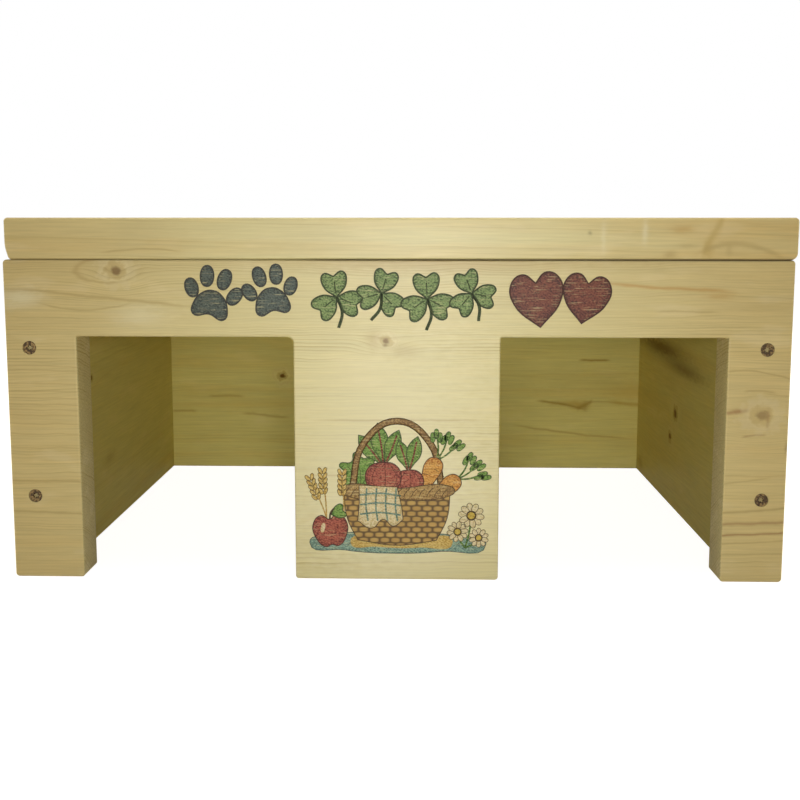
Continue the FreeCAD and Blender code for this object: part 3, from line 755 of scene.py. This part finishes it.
for x, z, size, turn in CARROTS:
    picture.over()
    top = placed([(0.0, 30.0)], x, z, size, turn)[0]
    for spread in (24.0, 0.0, -26.0):
        stalk = placed([(0.0, 0.0), (1.2, 8.0), (0.0, 17.0)], *top, size, turn + spread)
        picture.line("green", stalk, 0.55)
        for off in (-2.4, 0.0, 2.4):
            leaflet = oval(stalk[2][0] + off, stalk[2][1] - abs(off), 1.6, 3.4, turn + spread)
            picture.area("green", leaflet, "scorched_leaf", 0.16)
    picture.over()
    picture.area("orange", placed(CARROT, x, z, size, turn))
    for height in (9.0, 14.0, 19.0, 24.0):
        side = -1.0 if height % 2 else 1.0
        crease = placed([(side * 4.5, height), (side * 1.0, height + 0.8)], x, z, size, turn)
        picture.line("scorched", crease, 0.2)
for x, z, size in BEETS:
    picture.over()
    picture.area("beet", placed(BEET, x, z, size, 4.0), "scorched_maroon")
    for side in (-1.0, 0.2, 1.2):
        crease = placed([(side * 4.0, 7.5), (side * 7.0, 0.0), (side * 3.5, -9.0)], x, z, size)
        picture.line("scorched_maroon", crease, 0.16)

picture.over()
picture.area("wicker", BASKET)
picture.over()
picture.area("rim", RIM)
for x in range(-33, 37, 5):
    picture.line("scorched", [(x - 1.5, 56.5), (x, 59.5), (x + 2.5, 62.0)], 0.24)
picture.over()
picture.area("cream", NAPKIN)
for x in (-19.0, -12.5, -6.0, 0.5):
    picture.line("blue", [(x, 62.0), (x - 0.5, 50.0), (x + 0.8, 40.0)], 0.55)
for z in (57.5, 51.0, 44.5):
    picture.line("blue", [(-23.5, z), (-10.0, z + 1.2), (3.5, z - 0.5)], 0.55)

for x, z, turn in EARS:
    picture.line("straw", placed([(0.0, 0.0), (1.5, 22.0), (0.0, 44.0)], x, z, 1.0, turn), 0.45)
    for step in range(5):
        for side in (-1.0, 1.0):
            grain = oval(side * 1.5, 34.0 + step * 3.4, 1.15, 2.4, -side * 24.0)
            picture.area("straw", placed(grain, x, z, 1.0, turn), half=0.16)
picture.over()
picture.area("beet", placed(APPLE, *APPLE_PLACE), "scorched_maroon")
picture.over()
picture.area("cream", placed(oval(-4.6, 2.5, 1.3, 3.2, -18.0), *APPLE_PLACE), line=None)
picture.line("scorched", [(-43.5, 41.0), (-43.0, 45.0), (-41.0, 48.0)], 0.6)
picture.area("green", placed(LEAFLET, *APPLE_LEAF_PLACE), "scorched_leaf")

for x, z, radius, turn in DAISIES:
    bend = (x + (STALK_FOOT[0] - x) * 0.3, (z + STALK_FOOT[1]) / 2.0)
    picture.line("green", [(x, z), bend, STALK_FOOT], 0.6)
for first in (0, 1):
    picture.over()
    for x, z, radius, turn in DAISIES:
        petal = oval(0.0, radius * 0.63, radius * 0.23, radius * 0.38)
        for step in range(first, 10, 2):
            picture.area("cream", placed(petal, x, z, 1.0, turn + step * 36.0), half=0.18)
        if first:
            middle = oval(x, z, radius * DAISY_MIDDLE, radius * DAISY_MIDDLE)
            picture.line("scorched", middle, radius * 0.1, closed=True)
picture.over()
for x, z, radius, turn in DAISIES:
    picture.area("yellow", oval(x, z, radius * DAISY_MIDDLE, radius * DAISY_MIDDLE), half=0.18)

ROW_HEIGHT = 3.6
STAKE_GAP = 7.0
PALE_REED = (0.88, 0.68, 0.42, 1.0)
DARK_REED = (0.50, 0.31, 0.14, 1.0)
WEAVE_GAP = (0.17, 0.11, 0.09, 1.0)


def wicker():
    """Stained basket weave: rows of strands that bulge between the stakes, with dark gaps."""
    finish = Finish(bpy.data.materials.new("wicker_stain"))
    wood, roughness, relief = spruce(finish, **FRONT_GRAIN)
    x, y, z = finish.place()
    row = (z / ROW_HEIGHT).math("FLOOR")
    turns = x / STAKE_GAP + row * 0.5
    strand = finish.node("TexWhiteNoise", {"noise_dimensions": "2D"},
                         {0: finish.node("CombineXYZ", sockets={0: turns.math("FLOOR"), 1: row})})
    across = (turns * math.pi).math("SINE")
    up = (z * (math.pi / ROW_HEIGHT)).math("SINE")
    bulge = (across * up).math("ABSOLUTE").math("SQRT")
    reed = finish.noise(x / 6.0, z / 0.6, row)
    light = finish.blend(strand * 0.4 + reed * 0.5, PALE_REED, DARK_REED)
    tint = finish.blend(finish.ease(bulge, 0.3, 0.85), WEAVE_GAP, light)
    finish.paint(finish.blend(1.0, wood, tint, "MULTIPLY"), roughness + 0.12, relief, GRAIN_DEPTH,
                 STAIN_IOR)
    return finish.owner


inks |= {
    "wicker": wicker(),
    "scorched": scorched("scorched_line", (0.040, 0.024, 0.012), (0.115, 0.070, 0.035)),
    "rim": stained("rim", (0.17, 0.09, 0.03), (0.46, 0.30, 0.10), 1.0),
    "beet": stained("beet", (0.105, 0.012, 0.011), (0.42, 0.115, 0.068)),
    "orange": stained("orange", (0.36, 0.12, 0.02), (0.66, 0.36, 0.08)),
    "green": stained("green", (0.034, 0.092, 0.010), (0.20, 0.34, 0.065)),
    "blue": stained("blue", (0.09, 0.17, 0.14), (0.30, 0.44, 0.33)),
    "straw": stained("straw", (0.44, 0.26, 0.05), (0.68, 0.51, 0.16)),
    "cream": stained("cream", (0.52, 0.40, 0.17), (0.74, 0.65, 0.40)),
    "yellow": stained("yellow", (0.36, 0.22, 0.02), (0.62, 0.46, 0.08)),
}
picture.pieces(inks)

# Floor: plain pale ground that keeps the house's soft shadow and turns white farther away, in mm
# from the middle. It isn't part of the house.

FLOOR_HALF = 4.0
FADE_START = 600.0
FADE_END = 2600.0
NEAR_WHITE = (0.93, 0.93, 0.93, 1.0)
MATT_GROUND = (0.45, 0.40, 0.28, 1.0)


def seen_as_background(finish):
    """1 for rays that show the background, straight from the camera, mirrored or through glass."""
    path = finish.node("LightPath", output="Is Camera Ray")
    mirrored = path.other("Is Glossy Ray").math("MAXIMUM", path.other("Is Transmission Ray"))
    return path.math("MAXIMUM", mirrored)


bpy.ops.mesh.primitive_plane_add(size=2 * FLOOR_HALF)
floor = bpy.context.object
floor.name = "floor"
ground = Finish(bpy.data.materials.new("pale_ground"))
x, y, z = ground.place()
far = ground.ease((x * x + y * y).math("SQRT"), FADE_START, FADE_END)
white = ground.blend(far, NEAR_WHITE, WHITE)
glow = ground.node("Emission", sockets={"Color": white, "Strength": seen_as_background(ground)})
matt = ground.node("BsdfDiffuse", sockets={"Color": MATT_GROUND})
both = ground.node("AddShader", sockets={0: glow, 1: matt})
ground.node("OutputMaterial", sockets={"Surface": both})
floor.data.materials.append(ground.owner)

# Light: soft lamps on all sides, the strongest in front, two small ones in the room behind the
# front board, and a faint even sky that shows white.

SKY = 0.06
world = bpy.data.worlds.new("studio")
bpy.context.scene.world = world
sky = Finish(world)
strength = seen_as_background(sky) * (1.0 - SKY) + SKY
background = sky.node("Background", sockets={"Color": WHITE, "Strength": strength})
sky.node("OutputWorld", sockets={"Surface": background})


def lamp(name, place, aim, size, watts, spread=180.0, mirrored=True, height=None):
    """Soft lamp at a place, turned towards another, its light fanned out by the spread in degrees.

    It is square, unless its height is given.
    """
    light = bpy.data.lights.new(name, "AREA")
    light.shape = "RECTANGLE"
    light.size, light.size_y = size, height or size
    light.energy, light.spread = watts, math.radians(spread)
    holder = bpy.data.objects.new(name, light)
    holder.location = place
    way = mathutils.Vector(aim) - mathutils.Vector(place)
    holder.rotation_euler = way.to_track_quat("-Z", "Y").to_euler()
    holder.visible_camera = False
    holder.visible_glossy = mirrored
    bpy.context.scene.collection.objects.link(holder)


lamp("front_lamp", (0.01, -0.675, 0.21), (0.01, -0.175, 0.15), 0.09, 0.42, 110.0)
lamp("fill_lamp", (0.0, -1.6, 0.4), (0.0, -0.175, 0.1), 0.8, 3.9)
lamp("left_lamp", (-1.6, 0.1, 0.6), (-0.2, 0.0, 0.1), 1.0, 14.0, mirrored=False)
lamp("right_lamp", (1.6, 0.1, 0.6), (0.2, 0.0, 0.1), 1.0, 14.0, mirrored=False)
lamp("back_lamp", (0.0, 1.7, 0.6), (0.0, 0.2, 0.1), 1.0, 16.0, mirrored=False)
lamp("top_lamp", (0.0, 0.0, 1.6), (0.0, 0.0, 0.2), 1.2, 12.0)
lamp("post_lamp", (0.0, -0.14, 0.11), (0.0, 0.15, 0.11), 0.03, 0.031, 52.0, mirrored=False,
     height=0.2)
lamp("rail_lamp", (0.0, -0.14, 0.195), (0.0, 0.15, 0.195), 0.42, 0.02, 46.0, mirrored=False,
     height=0.02)

# Camera: just right of the middle line, a little above the doorways, close to the front. It looks
# slightly down, and its picture is shifted so that the house stands in the middle.

EYE = (0.0168, -0.8166, 0.2278)
LOOK_DOWN = math.radians(6.48)
ROLL = math.radians(-0.03)
TURN_LEFT = math.radians(1.29)
camera = bpy.data.objects.new("camera", bpy.data.cameras.new("camera"))
camera.location = EYE
camera.rotation_euler = (math.radians(90.0) - LOOK_DOWN, ROLL, TURN_LEFT)
camera.data.sensor_width = 36.0
camera.data.lens = 44.83
camera.data.shift_x, camera.data.shift_y = 0.001, -0.0646
bpy.context.scene.collection.objects.link(camera)
bpy.context.scene.camera = camera
bpy.context.scene.view_settings.view_transform = "Standard"
